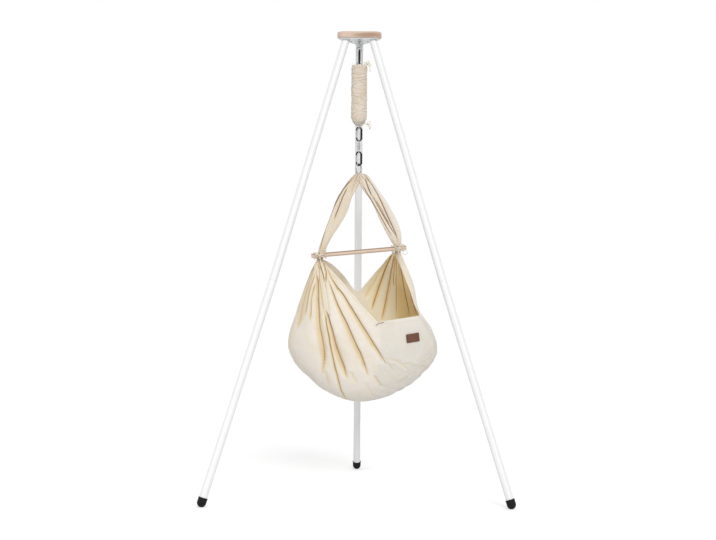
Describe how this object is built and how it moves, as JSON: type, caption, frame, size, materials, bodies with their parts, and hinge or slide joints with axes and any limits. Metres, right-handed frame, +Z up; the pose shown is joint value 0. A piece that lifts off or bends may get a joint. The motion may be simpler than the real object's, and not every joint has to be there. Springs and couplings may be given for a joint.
{
  "type": "swinging baby cradle on stand",
  "caption": "Gathered cotton baby hammock cradle hung by a sleeved steel spring, snap hooks and a swivel from the wooden head of a three-legged tube stand.",
  "frame": {"origin": "on the floor, below the middle of the feet's and legs' outline", "axes": "+Z up, +X to the right of the cradle as pictured, +Y away from the pictured front, towards the back leg"},
  "size_m": [1.238, 1.077, 1.9],
  "materials": {
    "white_coating": "satin",
    "black_rubber": "matte",
    "light_wood": "satin",
    "black_steel": "satin",
    "steel": "polished",
    "cream_cotton": "matte",
    "cotton_cord": "matte",
    "brown_leather": "satin",
    "white_cotton": "matte"
  },
  "bodies": {
    "stand": {"top_plate": "light_wood", "head_bracket": "white_coating", "head_screws": "steel", "eye_bolt": "steel", "eye_nut": "steel", "leg_upper_left": "white_coating", "leg_upper_right": "white_coating", "leg_upper_back": "white_coating", "leg_lower_left": "white_coating", "leg_lower_right": "white_coating", "leg_lower_back": "white_coating", "foot_left": "black_rubber", "foot_right": "black_rubber", "foot_back": "black_rubber"},
    "hook_top": {"hook_top": "black_steel", "gate_pin_top": "steel"},
    "gate_top": {"gate_top": "steel"},
    "spring_top": {"spring_end_top": "steel", "spring_coil": "steel", "spring_sleeve": "cream_cotton", "sleeve_tail_top": "cotton_cord"},
    "spring_low": {"spring_end_low": "steel", "sleeve_tail_low": "cotton_cord"},
    "hook_mid": {"hook_mid": "black_steel", "gate_pin_mid": "steel"},
    "gate_mid": {"gate_mid": "steel"},
    "swivel_upper": {"swivel_upper": "steel"},
    "swivel_lower": {"swivel_lower": "steel"},
    "hook_low": {"hook_low": "black_steel", "gate_pin_low": "steel"},
    "gate_low": {"gate_low": "steel"},
    "cradle": {"cradle_ring": "steel", "strap_left": "cream_cotton", "strap_right": "cream_cotton", "spreader_bar": "light_wood", "tie_left": "cotton_cord", "tie_right": "cotton_cord", "tie_tail_left": "cotton_cord", "tie_tail_right": "cotton_cord", "bag": "cream_cotton", "foot_panel": "cream_cotton", "label_patch": "brown_leather", "mattress": "white_cotton"}
  },
  "joints": [
    {"name": "hook_top_swing", "type": "hinge", "parent": "stand", "child": "hook_top", "pos_m": [0, -0.175, 1.8265], "axis": [1, 0, 0], "range_deg": [-12, 5]},
    {"name": "spring_sway", "type": "hinge", "parent": "hook_top", "child": "spring_top", "pos_m": [0, -0.175, 1.7768], "axis": [0, 1, 0], "range_deg": [-2.5, 2.5]},
    {"name": "spring_stretch", "type": "slide", "parent": "spring_top", "child": "spring_low", "axis": [0, 0, -1], "range_m": [0, 0.15], "stiffness_N_per_m": 450, "springref_m": -0.065, "deforming": ["spring_coil", "spring_sleeve"]},
    {"name": "hook_mid_sway", "type": "hinge", "parent": "spring_low", "child": "hook_mid", "pos_m": [0, -0.175, 1.5076], "axis": [0, 1, 0], "range_deg": [-2, 2]},
    {"name": "swivel_sway", "type": "hinge", "parent": "hook_mid", "child": "swivel_upper", "pos_m": [0, -0.175, 1.4574], "axis": [1, 0, 0], "range_deg": [-3, 3]},
    {"name": "swivel_spin", "type": "hinge", "parent": "swivel_upper", "child": "swivel_lower", "pos_m": [0, -0.175, 1.4347], "axis": [0, 0, 1], "continuous": true},
    {"name": "hook_low_sway", "type": "hinge", "parent": "swivel_lower", "child": "hook_low", "pos_m": [0, -0.175, 1.4067], "axis": [0, 1, 0], "range_deg": [-2, 2]},
    {"name": "cradle_rock", "type": "hinge", "parent": "hook_low", "child": "cradle", "pos_m": [0, -0.175, 1.356], "axis": [1, 0, 0], "range_deg": [-8, 5]},
    {"name": "gate_top_open", "type": "hinge", "parent": "hook_top", "child": "gate_top", "pos_m": [0, -0.166, 1.7893], "axis": [1, 0, 0], "range_deg": [0, 20], "stiffness_Nm_per_rad": 0.05, "springref_deg": -20.05},
    {"name": "gate_mid_open", "type": "hinge", "parent": "hook_mid", "child": "gate_mid", "pos_m": [-0.009, -0.175, 1.4699], "axis": [0, 1, 0], "range_deg": [0, 20], "stiffness_Nm_per_rad": 0.05, "springref_deg": -20.05},
    {"name": "gate_low_open", "type": "hinge", "parent": "hook_low", "child": "gate_low", "pos_m": [-0.009, -0.175, 1.3685], "axis": [0, 1, 0], "range_deg": [0, 20], "stiffness_Nm_per_rad": 0.05, "springref_deg": -20.05}
  ]
}
